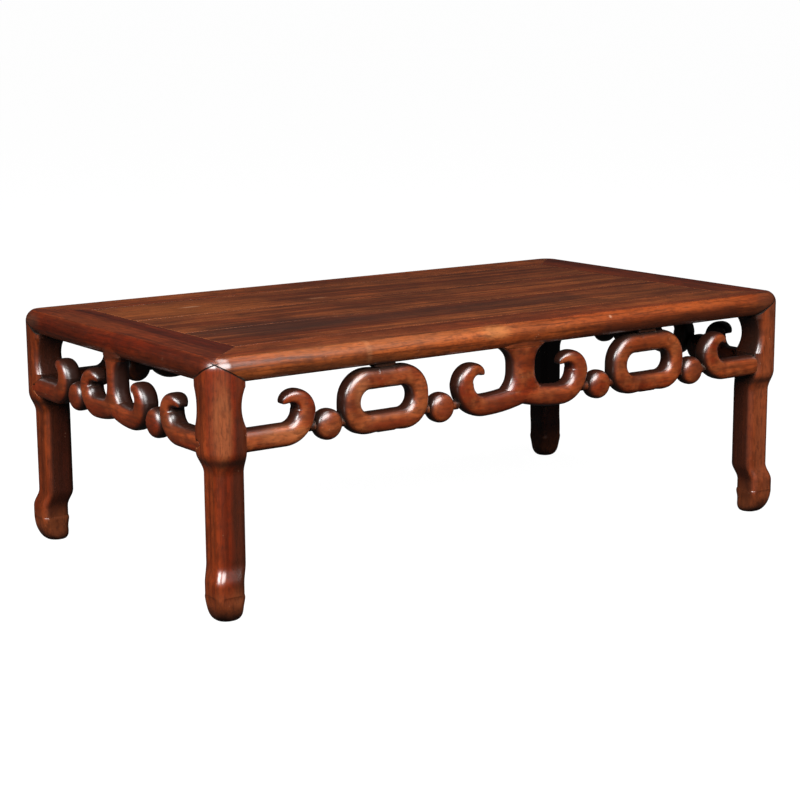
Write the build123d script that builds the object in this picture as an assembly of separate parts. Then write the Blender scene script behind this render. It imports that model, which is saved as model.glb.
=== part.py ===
from build123d import *
import math
import os

# Kang table: a low hardwood table of mitred frame-and-panel construction.  Four square-topped
# legs are let into the corners of the frame with three-way mitres, and under each side runs an
# openwork apron of rounded members: scrolls, oval rings and balls between the legs.
# X runs along the table, Y from the front to the back and Z up from the floor, with the origin
# on the floor under the middle of the top.  Sizes are in millimetres.

# ---------------------------------------------------------------- overall
table_length = 900.0
table_depth = 502.0
table_height = 308.0
joint_gap = 0.3                 # hairline left at mitres and shoulders
leg_mitre_gap = 0.7             # open joint between a leg and the rails above it
fit_gap = 0.15                  # clearance on each side of a tenon or dowel
lap = 1.0                       # how far a cut or a joined solid runs past a face
tenon_root = 4.0                # how far a tenon starts inside the piece that carries it

# ---------------------------------------------------------------- top frame
frame_thickness = 29.0
long_rail_width = 69.0
end_rail_width = 72.0
corner_radius = 26.5            # plan radius at the widest line of the rounded edge
top_edge_inset = 9.4            # how far the rounded edge draws in at its upper arris
low_edge_inset = 7.8            # and at its lower arris
edge_band = 16.0                # width of the band that carries the rounded edge
eased_arris = 0.6               # small bevel on the arrises where the panel meets the frame
corner_tenon_width = 12.0
corner_tenon_height = 9.0
corner_tenon_length = 26.0
corner_tenon_inset = 46.0       # from the front of the frame
corner_tenon_lift = 5.0         # above the underside of the frame
corner_tenon_root = 8.0         # part of the tenon inside its own rail

# ---------------------------------------------------------------- floating panel and battens
board_count = 3
board_thickness = 12.0
board_gap = 0.3
tongue_thickness = 6.0
tongue_length = 7.0
groove_depth = 8.0
board_spline_height = 3.0       # tongue along the joint between two boards
board_spline_length = 4.0
board_spline_inset = 20.0       # from the ends of the boards
batten_count = 3
batten_width = 34.0
batten_height = 16.0
batten_dovetail_depth = 3.0
batten_dovetail_flare = 2.0
batten_pitch = 240.0
batten_tenon_length = 12.0
batten_tenon_width = 20.0
batten_tenon_height = 9.0
batten_tenon_drop = 2.0         # below the underside of the boards
batten_bevel = 3.0              # lower arrises of a batten

# ---------------------------------------------------------------- legs
leg_width = 47.0                # block at the height of the apron, along the table
leg_depth = 47.8                # and across it
leg_hollow_width = 5.6          # hollow in the block between the apron members and the frame
leg_hollow_depth = 5.0
leg_hollow_lift = 3.0           # hollow starts above the apron members
leg_hollow_drop = 5.0           # and ends below the frame
leg_steps = 4
leg_edge_radius = 9.0
leg_heart_radius = 8.0
shank_inset = 10.4              # shank face behind the outer face of the block
shank_width = 38.0
shank_radius = 9.0
shoulder_drop = 24.0            # bottom of the shoulder, below the lowest line of the long aprons
shoulder_height = 28.0
foot_throw = 5.9                # how far the foot stands out from the shank
foot_throw_bottom = 44.0
foot_throw_height = 24.0
toe_rise = 32.0                 # height of the rounded toe on the outer sides
toe_run = 13.0
toe_softness = 3.0              # how slowly the corners round off as the toe turns under
least_flat = 0.5                # flat left between two rounded corners
toe_steps = 5
heel_rise = 7.0                 # height of the rounded heel on the inner sides
heel_run = 3.0
mitre_peak_inset = 8.5          # where the three mitre lines meet, from each outer face
mitre_peak_rise = 22.5          # and above the underside of the frame
leg_tenon_rise = 18.0
leg_tenon_long = 14.0
leg_tenon_short = 10.0
leg_tenon_near = 12.0           # tenon's outer side, from the nearer outer face
leg_tenon_far = 28.0            # and from the farther one

# ---------------------------------------------------------------- apron members
long_apron_inset = 16.4         # middle of the members, from the outer face of the frame
short_apron_inset = 13.2
member_width = 27.5             # in the plane of the apron
member_depth = 26.6
member_squareness = 2.8         # exponent of the rounded section: 2 is an ellipse
section_points = 16
scroll_tip_width = 3.2
scroll_tip_depth = 12.0
scroll_curl = 146.0             # angle that the crown of a scroll turns through
scroll_steps = 9
scroll_crowding = 0.25          # how much closer the sections stand towards the tip
scroll_width_law = 0.8          # how early a scroll starts to thin in the plane of the apron
scroll_depth_law = 3.0          # and across it
root_mitre_depth = 18.0         # pointed shoulder of a bar inside its leg
root_shoulder_lap = 3.0         # pointed shoulder inside its own bar
root_tenon_length = 6.0
root_tenon_width = 10.0
root_tenon_height = 9.0
post_waist_lift = 41.0          # height of the narrowest place above the members' centre line
post_steps = 5
post_depth = 26.0
post_flare_law = 3.0            # how late the flares of a post open
arm_overlap = 6.0               # how far an arm runs into the post past its middle
post_tenon_width = 18.0
post_tenon_depth = 10.0
post_tenon_height = 14.0
ring_width = 124.0
ring_height = 79.0
ring_limb = 26.0
ring_top_radius = 37.0          # outer corners above
ring_foot_radius = 33.0         # and below
ring_corner_steps = 5
ring_tenon_width = 16.0
ring_tenon_depth = 9.0
ring_tenon_height = 12.0
ball_radius = 18.7
ball_squareness = 2.8
ball_flat_radius = 4.0          # flat in the middle of each face
ball_steps = 8
ball_rise = 18.6                # ball centre above the lowest line of the apron
ball_neck_radius = 6.0          # turned necks between a ball and its neighbours
ball_neck_reach = 6.2           # neck length past the outermost line of a neighbour, before it is fitted
dowel_diameter = 6.0
dowel_grip = 8.0                # dowel length in each neighbour
contact_gap = 0.25
post_seat_border = 1.0
post_seat_flare = 4.0           # how much wider a seat is where it meets the rail
post_seat_height = 15.0
post_seat_steps = 3
ring_seat_width = 32.0
ring_seat_depth = 14.0
ring_seat_height = 7.0
ring_seat_radius = 4.0

# long aprons: places along the rail from its middle, radii of the scrolls
long_apron_drop = 83.0          # lowest line, below the underside of the frame
long_post_waist = 38.0
long_post_top_flare = 14.0
long_post_foot_flare = 12.0
long_post_drop = 2.2            # joint between post and rail, below the frame
long_centre_reach = 105.0
long_centre_bend = 29.3
long_centre_crown = 16.7
long_ring = 208.5
long_end_reach = 307.5
long_end_bend = 27.5
long_end_crown = 16.2
long_rise = 10.5

# short aprons
short_apron_drop = 84.5
short_post_waist = 23.0
short_post_top_flare = 6.5
short_post_foot_flare = 11.0
short_post_drop = 5.0
short_centre_reach = 84.5
short_centre_bend = 24.3
short_centre_crown = 14.0
short_end_reach = 120.4
short_end_bend = 24.6
short_end_crown = 14.0
short_rise = 10.5

# ---------------------------------------------------------------- derived places
half_length = table_length / 2
half_depth = table_depth / 2
frame_bottom = table_height - frame_thickness
frame_middle = table_height - frame_thickness / 2
long_apron_base = frame_bottom - long_apron_drop
short_apron_base = frame_bottom - short_apron_drop
shoulder_bottom = long_apron_base - shoulder_drop
long_outer_room = long_end_reach - long_ring - ring_width / 2     # room for a ball between members
long_inner_room = long_ring - ring_width / 2 - long_centre_reach
short_room = short_end_reach - short_centre_reach
long_outer_ball = long_end_reach - long_outer_room / 2            # each ball stands in its middle
long_inner_ball = long_centre_reach + long_inner_room / 2
short_ball = short_centre_reach + short_room / 2
opening_length = table_length - 2 * end_rail_width
opening_depth = table_depth - 2 * long_rail_width
tongue_top = table_height - (board_thickness - tongue_thickness)
quarter_turn = 90.0


# ---------------------------------------------------------------- small helpers
def block(x_low, x_high, y_low, y_high, z_low, z_high):
    """Box between two corners."""
    size = Box(x_high - x_low, y_high - y_low, z_high - z_low)
    return Pos((x_low + x_high) / 2, (y_low + y_high) / 2, (z_low + z_high) / 2) * size


def prism(points, plane, low, high):
    """Straight-sided outline on a plane, extruded from low to high along its normal."""
    face = plane.offset(low) * make_face(Polyline(*points, close=True))
    return extrude(face, amount=high - low, dir=plane.z_dir)


def ease(value, low, high):
    """Smooth fall from 1 at low to 0 at high."""
    share = min(max((value - low) / (high - low), 0.0), 1.0)
    return 0.5 + 0.5 * math.cos(math.pi * share)


def mirrored_x(piece):
    return mirror(piece, about=Plane.YZ)


def mirrored_y(piece):
    return mirror(piece, about=Plane.XZ)


# ---------------------------------------------------------------- top frame
def frame_blank():
    """Slab of the whole frame with its rounded edge."""
    outline = Pos(0, 0, frame_middle) * RectangleRounded(table_length, table_depth, corner_radius)
    path = outline.wire()
    inward = Vector(0, 0, 1).cross(path % 0)
    at_start = Plane(origin=path @ 0, x_dir=inward, z_dir=path % 0)
    half = frame_thickness / 2
    profile = make_face(
        TangentArc((0, 0), (top_edge_inset, half), tangent=(0, 1))
        + TangentArc((0, 0), (low_edge_inset, -half), tangent=(0, -1))
        + Polyline((low_edge_inset, -half), (edge_band, -half), (edge_band, half), (top_edge_inset, half))
    )
    edge = sweep(at_start * profile, path=path)
    core_inset = edge_band - 2 * lap
    core = RectangleRounded(table_length - 2 * core_inset, table_depth - 2 * core_inset,
                            corner_radius - core_inset)
    return edge + extrude(Pos(0, 0, frame_bottom) * core, amount=frame_thickness)


def frame_body(blank):
    """The frame with its opening and panel groove, before it is cut into rails."""
    body = blank - block(-opening_length / 2, opening_length / 2, -opening_depth / 2, opening_depth / 2,
                         frame_bottom - lap, table_height + lap)
    reach_x = opening_length / 2 + groove_depth
    reach_y = opening_depth / 2 + groove_depth
    body -= block(-reach_x, reach_x, -reach_y, reach_y,
                  tongue_top - tongue_thickness - fit_gap, tongue_top + fit_gap)
    mouth = Pos(0, 0, table_height - eased_arris) * Rectangle(opening_length, opening_depth)
    return body - extrude(mouth, amount=eased_arris, taper=-45)


def rail_wedge(along_x):
    """Region of one rail between its two corner mitres, for the front or the left rail."""
    over = corner_radius
    slope = end_rail_width / long_rail_width
    if along_x:
        inner_x = opening_length / 2 - joint_gap
        outer_x = half_length - joint_gap + over * slope
        points = [(-outer_x, -half_depth - over), (outer_x, -half_depth - over),
                  (inner_x, -opening_depth / 2), (-inner_x, -opening_depth / 2)]
    else:
        outer_y = half_depth + over
        points = [(-half_length - over * slope, -outer_y), (-half_length - over * slope, outer_y),
                  (-opening_length / 2, opening_depth / 2), (-opening_length / 2, -opening_depth / 2)]
    return prism(points, Plane.XY, frame_bottom - frame_thickness, table_height + lap)


def corner_tenon(grow=0.0):
    """Tenon of the front rail that enters the left rail, let in by `grow` for the mortise."""
    y_low = -half_depth + corner_tenon_inset
    shoulder = -half_length + corner_tenon_inset * end_rail_width / long_rail_width
    x_high = shoulder + corner_tenon_root
    z_low = frame_bottom + corner_tenon_lift
    return block(shoulder - corner_tenon_length - grow, x_high,
                 y_low - grow, y_low + corner_tenon_width + grow,
                 z_low - grow, z_low + corner_tenon_height + grow)


def batten_places():
    return [(k - (batten_count - 1) / 2) * batten_pitch for k in range(batten_count)]


def batten_tenon(x, grow=0.0):
    """Tenon at the front end of a batten."""
    y = -opening_depth / 2
    z_high = table_height - board_thickness - batten_tenon_drop
    return block(x - batten_tenon_width / 2 - grow, x + batten_tenon_width / 2 + grow,
                 y - batten_tenon_length - grow, y + lap, z_high - batten_tenon_height - grow,
                 z_high + grow)


def post_seat(waist, flare, drop):
    """Boss under a rail that the post of an apron stands against, drawn in the apron's place."""
    low = frame_bottom - drop
    top_width = waist + 2 * (flare + post_seat_border)
    sections = []
    for k in range(post_seat_steps + 1):
        share = k / post_seat_steps
        width = top_width + 2 * post_seat_flare * share ** 2
        sections.append(member_section(Plane.XY.offset(low + drop * share), width, member_depth))
    foot = loft(sections)
    full_width = top_width + 2 * post_seat_flare
    return foot + extrude(member_section(Plane.XY.offset(frame_bottom), full_width, member_depth),
                          amount=post_seat_height)


def ring_seat(x):
    """Low boss under the long rail that a ring stands against."""
    low = long_apron_base + ring_height + contact_gap
    shape = RectangleRounded(ring_seat_width, ring_seat_depth, ring_seat_radius)
    return extrude(Pos(x, 0, low) * shape, amount=frame_bottom + ring_seat_height - low)


# ---------------------------------------------------------------- legs
def leg_outline(z, near, far_x, far_y, corner, edge, heart):
    """Section of the front left leg, measured inwards from the outer corner of the frame."""
    points = [(near, near), (far_x, near), (far_x, far_y), (near, far_y)]
    line = FilletPolyline(*points, radius=[corner, edge, heart, edge], close=True)
    return Pos(-half_length, -half_depth, z) * make_face(line)


def foot_section(z):
    """Section of the foot: it stands out from the shank and rounds under to the sole."""
    throw = foot_throw * ease(z, foot_throw_bottom, foot_throw_bottom + foot_throw_height)
    toe = toe_run * (1 - math.sqrt(1 - max(0.0, 1 - z / toe_rise) ** 2))
    heel = heel_run * (1 - math.sqrt(1 - max(0.0, 1 - z / heel_rise) ** 2))
    near = shank_inset - throw + toe
    far = shank_inset + shank_width - throw - heel
    radius = min(shank_radius + toe / toe_softness, (far - near) / 2 - least_flat)
    return leg_outline(z, near, far, far, radius, radius, radius)


def shoulder_section(z):
    """Section where the shank swells into the block under the apron."""
    share = 1 - ease(z, shoulder_bottom, shoulder_bottom + shoulder_height)
    near = shank_inset * (1 - share)
    far = shank_inset + shank_width
    far_x = far + (leg_width - far) * share
    far_y = far + (leg_depth - far) * share
    corner = shank_radius + (corner_radius - shank_radius) * share
    edge = shank_radius + (leg_edge_radius - shank_radius) * share
    heart = shank_radius + (leg_heart_radius - shank_radius) * share
    return leg_outline(z, near, far_x, far_y, corner, edge, heart)


def block_section(z, hollow=0.0):
    """Section of the block, with its inner sides hollowed by a share of the full hollow."""
    return leg_outline(z, 0.0, leg_width - leg_hollow_width * hollow, leg_depth - leg_hollow_depth * hollow,
                       corner_radius, leg_edge_radius, leg_heart_radius)


def waist_section(z, low, high):
    """Section of the block where its inner sides are hollowed."""
    offset = (z - (low + high) / 2) / ((high - low) / 2)
    return block_section(z, 1 - offset ** 2)


def leg_roof():
    """Everything under the two mitre planes that slope up to the outer corner of the leg."""
    low = frame_bottom - table_height
    outer = leg_depth
    roofs = []
    for width in (leg_width, leg_depth):
        slope = mitre_peak_rise / (width - mitre_peak_inset)
        top = frame_bottom + slope * (width + outer)
        roofs.append([(-outer, low), (width, low), (width, frame_bottom), (-outer, top)])
    across = prism([(-half_length + u, z) for u, z in roofs[0]], Plane.XZ, 0, half_depth + outer)
    along = prism([(-half_depth + v, z) for v, z in roofs[1]], Plane.YZ, -half_length - outer, 0)
    return across & along


def leg_tenons(grow=0.0):
    """Long-rail and end-rail tenons on the head of the front left leg."""
    low = frame_bottom - tenon_root
    high = frame_bottom + leg_tenon_rise + grow
    near, far = leg_tenon_near - grow, leg_tenon_far - grow
    long_side = block(-half_length + far, -half_length + far + leg_tenon_long + 2 * grow,
                      -half_depth + near, -half_depth + near + leg_tenon_short + 2 * grow, low, high)
    end_side = block(-half_length + near, -half_length + near + leg_tenon_short + 2 * grow,
                     -half_depth + far, -half_depth + far + leg_tenon_long + 2 * grow, low, high)
    return long_side, end_side


def leg_head(grow=0.0):
    """Part of the leg inside the frame; `grow` lifts the mitre faces for the rails' seat."""
    head = block(-half_length - lap, -half_length + leg_width, -half_depth - lap, -half_depth + leg_depth,
                 frame_bottom - lap, table_height)
    return head & Pos(0, 0, grow) * leg_roof()


def leg_blank(frame):
    """Front left leg with its tenons, before the apron bars are let into it."""
    foot_top = foot_throw_bottom + foot_throw_height
    toe = loft([foot_section(toe_rise * (k / toe_steps) ** 2) for k in range(toe_steps + 1)])
    ankle = extrude(foot_section(toe_rise), amount=foot_throw_bottom - toe_rise)
    step = loft([foot_section(foot_throw_bottom + foot_throw_height * k / leg_steps)
                 for k in range(leg_steps + 1)])
    foot = toe + ankle + step
    shank = extrude(foot_section(foot_top), amount=shoulder_bottom - foot_top)
    shoulder = loft([shoulder_section(shoulder_bottom + shoulder_height * k / leg_steps)
                     for k in range(leg_steps + 1)])
    shoulder_top = shoulder_bottom + shoulder_height
    waist_low = long_apron_base + member_width + leg_hollow_lift
    waist_high = frame_bottom - leg_hollow_drop
    lower = extrude(block_section(shoulder_top), amount=waist_low - shoulder_top)
    waist_height = waist_high - waist_low
    waist = loft([waist_section(waist_low + waist_height * k / leg_steps, waist_low, waist_high)
                  for k in range(leg_steps + 1)])
    head = extrude(block_section(waist_high), amount=frame_bottom + frame_thickness - waist_high)
    under = block(-half_length, -half_length + leg_width, -half_depth, -half_depth + leg_depth,
                  0, frame_middle)
    upper = head & leg_roof() & (frame + under)
    leg = foot + shank + shoulder + lower + waist + upper
    for tenon in leg_tenons():
        leg += tenon
    return leg


# ---------------------------------------------------------------- apron members
# An apron is drawn with X along it, Y into the table (0 on the members' middle) and Z up.
def member_section(plane, width, depth):
    """Rounded section of a member: a closed superellipse curve."""
    points = []
    for k in range(section_points):
        angle = 2 * math.pi * k / section_points
        across, into = math.cos(angle), math.sin(angle)
        power = 2 / member_squareness
        points.append((width / 2 * math.copysign(abs(across) ** power, across),
                       depth / 2 * math.copysign(abs(into) ** power, into)))
    return plane * make_face(Spline(*points, periodic=True))


def station(x, z, heading):
    """Plane square to a member's centre line that heads `heading` degrees up from +X."""
    run, climb = math.cos(math.radians(heading)), math.sin(math.radians(heading))
    return Plane(origin=(x, 0, z), x_dir=(-climb, 0, run), z_dir=(run, 0, climb))


def straight_member(x_low, x_high, z, width=member_width):
    return extrude(member_section(station(x_low, z, 0), width, member_depth), amount=x_high - x_low)


def curved_member(centre_x, centre_z, radius, start, arc, width=member_width):
    """Member along a circular arc that starts at the angle `start` and turns anticlockwise."""
    x = centre_x + radius * math.cos(math.radians(start))
    z = centre_z + radius * math.sin(math.radians(start))
    face = member_section(station(x, z, start + quarter_turn), width, member_depth)
    return revolve(face, axis=Axis((centre_x, 0, centre_z), (0, -1, 0)), revolution_arc=arc)


def scroll_crown(centre_x, centre_z, radius):
    """Curled end of a scroll, which thins to a blunt point."""
    sections = []
    for k in range(scroll_steps + 1):
        share = k / scroll_steps
        share = share * (1 + scroll_crowding - scroll_crowding * share)
        angle = scroll_curl * share
        place = station(centre_x + radius * math.cos(math.radians(angle)),
                        centre_z + radius * math.sin(math.radians(angle)), angle + quarter_turn)
        left_wide = math.sqrt(1 - share ** scroll_width_law)
        left_deep = 1 - share ** scroll_depth_law
        width = scroll_tip_width + (member_width - scroll_tip_width) * left_wide
        depth = scroll_tip_depth + (member_depth - scroll_tip_depth) * left_deep
        sections.append(member_section(place, width, depth))
    return loft(sections)


def scroll_arm(root_x, reach_x, spine_z, bend_radius, crown_radius, rise=0.0):
    """Arm that runs along +X from its root, turns up and curls back over itself."""
    side_x = reach_x - member_width / 2
    bend_x = side_x - bend_radius
    crown_z = spine_z + bend_radius
    if rise:
        run = bend_x - root_x
        radius = (run ** 2 + rise ** 2) / (2 * rise)
        turn = math.degrees(math.asin(run / radius))
        arm = curved_member(bend_x, spine_z + radius, radius, -quarter_turn - turn, turn)
    else:
        arm = straight_member(root_x, bend_x, spine_z)
    arm += curved_member(bend_x, crown_z, bend_radius, -quarter_turn, quarter_turn)
    return arm + scroll_crown(side_x - crown_radius, crown_z, crown_radius)


def pointed_root(shoulder_x, spine_z, grow=0.0):
    """Mitred shoulder and stub tenon of an end bar, pointing along -X from the leg's face."""
    half = member_width / 2
    tip_x = shoulder_x - root_mitre_depth - grow
    over = root_shoulder_lap
    spread = half * (1 + over / root_mitre_depth) + grow
    wedge = prism([(tip_x, spine_z), (shoulder_x + over, spine_z - spread),
                   (shoulder_x + over, spine_z + spread)], Plane.XZ, -member_depth, member_depth)
    root = wedge & straight_member(tip_x - lap, shoulder_x + over, spine_z)
    return root + block(tip_x - root_tenon_length, tip_x + root_tenon_length,
                        -root_tenon_width / 2 - grow, root_tenon_width / 2 + grow,
                        spine_z - root_tenon_height / 2 - grow, spine_z + root_tenon_height / 2 + grow)


def scroll_post(spine_z, waist, top_flare, foot_flare, drop):
    """Waisted post between the arms of a centre scroll and the rail."""
    waist_z = spine_z + post_waist_lift
    top_z = frame_bottom - drop
    foot_z = spine_z + member_width / 2 + lap
    sections = []
    for k in range(post_steps + 1):
        z = foot_z + (waist_z - foot_z) * k / post_steps
        width = waist + 2 * foot_flare * ((waist_z - z) / (waist_z - foot_z)) ** post_flare_law
        sections.append(member_section(Plane.XY.offset(z), width, post_depth))
    for k in range(1, post_steps + 1):
        z = waist_z + (top_z - waist_z) * k / post_steps
        width = waist + 2 * top_flare * ((z - waist_z) / (top_z - waist_z)) ** post_flare_law
        sections.append(member_section(Plane.XY.offset(z), width, post_depth))
    post = loft(sections)
    post += extrude(member_section(Plane.XY.offset(foot_z), waist + 2 * foot_flare, post_depth),
                    amount=lap - member_width / 2)
    return post + post_tenon(top_z - tenon_root, top_z)


def centre_scroll(arm, post):
    """Post with an arm on each side, from its right-hand half."""
    half = (arm + post) & block(0, half_length, -member_depth, member_depth, 0, table_height)
    return half + mirrored_x(half)


def post_tenon(low, shoulder, grow=0.0):
    """Tenon on top of a post, standing up from its shoulder."""
    return block(-post_tenon_width / 2 - grow, post_tenon_width / 2 + grow,
                 -post_tenon_depth / 2 - grow, post_tenon_depth / 2 + grow,
                 low, shoulder + post_tenon_height + grow)


def ring_reach(angle, radius):
    """Distance from the middle of a rounded end of the hole to the outer edge, along a ray."""
    across, up = math.cos(angle), math.sin(angle)
    half = ring_height / 2
    offset = half - radius
    along = offset * (across + up)
    to_corner = along + math.sqrt(along ** 2 - 2 * offset ** 2 + radius ** 2)
    if to_corner * across < offset:
        return half / up
    if to_corner * up < offset:
        return half / across
    return to_corner


def ring_section(centre_x, centre_z, angle, side, radius):
    """Section of the ring's limb on a ray from the middle of the hole's left end."""
    hole_radius = ring_height / 2 - ring_limb
    reach = ring_reach(angle, radius)
    middle = (hole_radius + reach) / 2
    across, up = -math.cos(angle), side * math.sin(angle)
    place = Plane(origin=(centre_x + middle * across, 0, centre_z + middle * up),
                  x_dir=(across, 0, up), z_dir=(-up, 0, across))
    return member_section(place, reach - hole_radius, member_depth)


def ring(centre_x, base_z):
    """Oval ring with a tenon on top, from its left-hand half."""
    centre_z = base_z + ring_height / 2
    straight = (ring_width - ring_height) / 2
    end_x = centre_x - straight
    turns = [math.pi / 2 * k / ring_corner_steps for k in range(ring_corner_steps + 1)]
    lead = straight / 2
    upper = [ring_section(end_x, centre_z, turn, 1, ring_top_radius) for turn in reversed(turns)]
    lower = [ring_section(end_x, centre_z, turn, -1, ring_foot_radius) for turn in turns]
    first, last = Pos(lead, 0, 0) * upper[0], Pos(lead, 0, 0) * lower[-1]
    half = loft([first] + upper + lower[1:] + [last])
    half += extrude(first, amount=-lead)
    half += extrude(last, amount=lead)
    whole = half + Pos(2 * centre_x, 0, 0) * mirrored_x(half)
    return whole + ring_tenon(centre_x, base_z + ring_height - tenon_root)


def ring_tenon(x, low, grow=0.0):
    """Tenon on top of a ring."""
    return block(x - ring_tenon_width / 2 - grow, x + ring_tenon_width / 2 + grow,
                 -ring_tenon_depth / 2 - grow, ring_tenon_depth / 2 + grow,
                 low, long_apron_base + ring_height + ring_tenon_height + grow)


def dowel(x, z, length, grow=0.0):
    """Dowel through a ball, along the apron."""
    rod = Cylinder(dowel_diameter / 2 + grow, length + 2 * grow)
    return Pos(x, 0, z) * Rot(0, 90, 0) * rod


def ball(x, z, room, neighbours):
    """Ball as thick as the apron, with short necks that bed against its neighbours."""
    power = 2 / ball_squareness
    half = member_depth / 2
    points = [(ball_flat_radius, -half)]
    for k in range(1, ball_steps):
        angle = math.pi * (k / ball_steps - 0.5)
        points.append((ball_radius * math.cos(angle) ** power,
                       half * math.copysign(abs(math.sin(angle)) ** power, angle)))
    points.append((ball_flat_radius, half))
    curve = Spline(*points, tangents=[(1, 0), (-1, 0)])
    closing = Polyline(points[-1], (0, half), (0, -half), points[0])
    shape = revolve(make_face(curve + closing), axis=Axis.Y)
    shape += Rot(0, 90, 0) * Cylinder(ball_neck_radius, room + 2 * ball_neck_reach)
    shape = Pos(x, 0, z) * shape
    for piece, side in neighbours:
        shape -= Pos(side * contact_gap, 0, 0) * piece
    return shape


def long_apron():
    """Pieces of a long apron by name, drawn along the front."""
    base = long_apron_base
    ball_z = base + ball_rise
    spine_z = base + member_width / 2
    shoulder_x = -half_length + leg_width
    arm = scroll_arm(-arm_overlap, long_centre_reach, spine_z, long_centre_bend, long_centre_crown,
                     long_rise)
    post = scroll_post(spine_z, long_post_waist, long_post_top_flare, long_post_foot_flare, long_post_drop)
    centre = centre_scroll(arm, post)
    end = scroll_arm(shoulder_x, -long_end_reach, spine_z, long_end_bend, long_end_crown)
    end += pointed_root(shoulder_x, spine_z)
    left_ring = ring(-long_ring, base)
    pieces = {
        "scroll_bar_left": end,
        "ball_outer_left": ball(-long_outer_ball, ball_z, long_outer_room, [(end, 1), (left_ring, -1)]),
        "ring_left": left_ring,
        "ball_inner_left": ball(-long_inner_ball, ball_z, long_inner_room,
                                [(left_ring, 1), (centre, -1)]),
        "centre_scroll": centre,
    }
    balls = [(-long_outer_ball, long_outer_room), (-long_inner_ball, long_inner_room)]
    return finish_apron(pieces, balls, ball_z)


def short_apron():
    """Pieces of a short apron by name, drawn along the left end with +X towards the front."""
    base = short_apron_base
    ball_z = base + ball_rise
    spine_z = base + member_width / 2
    shoulder_x = -half_depth + leg_depth
    arm = scroll_arm(-arm_overlap, short_centre_reach, spine_z, short_centre_bend, short_centre_crown,
                     short_rise)
    post = scroll_post(spine_z, short_post_waist, short_post_top_flare, short_post_foot_flare,
                       short_post_drop)
    centre = centre_scroll(arm, post)
    end = scroll_arm(shoulder_x, -short_end_reach, spine_z, short_end_bend, short_end_crown)
    end += pointed_root(shoulder_x, spine_z)
    pieces = {
        "scroll_bar_left": end,
        "ball_left": ball(-short_ball, ball_z, short_room, [(end, 1), (centre, -1)]),
        "centre_scroll": centre,
    }
    return finish_apron(pieces, [(-short_ball, short_room)], ball_z)


def finish_apron(left_pieces, left_balls, ball_z):
    """Add the right-hand twins and the dowels, and drill for the dowels."""
    pieces = dict(left_pieces)
    for name, piece in left_pieces.items():
        if name.endswith("left"):
            pieces[name[:-4] + "right"] = mirrored_x(piece)
    dowels = []
    for x, room in left_balls + [(-x, room) for x, room in left_balls]:
        length = room + 2 * dowel_grip
        dowels += dowel(x, ball_z, length).solids()
        hole = dowel(x, ball_z, length, fit_gap)
        for name in pieces:
            if pieces[name].bounding_box().min.X < x + length and \
                    pieces[name].bounding_box().max.X > x - length:
                pieces[name] = pieces[name] - hole
    pieces["dowels"] = Compound(children=dowels)
    return pieces


def on_side(piece, side):
    """Move an apron piece from its drawing place to one side of the table."""
    turns = {"front": 0, "left": -90, "back": 180, "right": 90}
    if side in ("front", "back"):
        return Rot(0, 0, turns[side]) * Pos(0, -half_depth + long_apron_inset, 0) * piece
    return Rot(0, 0, turns[side]) * Pos(0, -half_length + short_apron_inset, 0) * piece


# ---------------------------------------------------------------- assembly
nodes = {}

front_pieces = long_apron()
side_pieces = short_apron()
for side, drawn in (("front", front_pieces), ("back", front_pieces),
                    ("left", side_pieces), ("right", side_pieces)):
    for name, piece in drawn.items():
        nodes[side + "_" + name] = on_side(piece, side)

front_root = on_side(pointed_root(-half_length + leg_width, long_apron_base + member_width / 2,
                                  fit_gap), "front")
side_root = on_side(mirrored_x(pointed_root(-half_depth + leg_depth,
                                            short_apron_base + member_width / 2, fit_gap)), "left")
blank = frame_blank()
front_left_leg = leg_blank(blank) - front_root - side_root
nodes["leg_front_left"] = front_left_leg
nodes["leg_front_right"] = mirrored_x(front_left_leg)
nodes["leg_back_left"] = mirrored_y(front_left_leg)
nodes["leg_back_right"] = mirrored_y(mirrored_x(front_left_leg))

body = frame_body(blank)
front_rail = body & rail_wedge(along_x=True)
left_rail = body & rail_wedge(along_x=False)
front_rail += corner_tenon()
front_rail += mirrored_x(corner_tenon())
left_rail -= corner_tenon(fit_gap)
left_rail -= mirrored_y(corner_tenon(fit_gap))

front_rail += on_side(post_seat(long_post_waist, long_post_top_flare, long_post_drop), "front")
left_rail += on_side(post_seat(short_post_waist, short_post_top_flare, short_post_drop), "left")
for x in (-long_ring, long_ring):
    front_rail += on_side(ring_seat(x), "front")

long_tenon, end_tenon = leg_tenons(fit_gap)
head = leg_head(leg_mitre_gap)
for flip in (lambda piece: piece, mirrored_x):
    front_rail -= flip(head)
    front_rail -= flip(long_tenon)
for flip in (lambda piece: piece, mirrored_y):
    left_rail -= flip(head)
    left_rail -= flip(end_tenon)

long_shoulder = frame_bottom - long_post_drop
short_shoulder = frame_bottom - short_post_drop
front_rail -= on_side(post_tenon(long_shoulder - lap, long_shoulder, fit_gap), "front")
left_rail -= on_side(post_tenon(short_shoulder - lap, short_shoulder, fit_gap), "left")
for x in (-long_ring, long_ring):
    front_rail -= on_side(ring_tenon(x, long_apron_base + ring_height - lap, fit_gap), "front")
for x in batten_places():
    front_rail -= batten_tenon(x, fit_gap)

nodes["front_long_rail"] = front_rail
nodes["back_long_rail"] = Rot(0, 0, 180) * front_rail
nodes["left_end_rail"] = left_rail
nodes["right_end_rail"] = Rot(0, 0, 180) * left_rail


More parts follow.
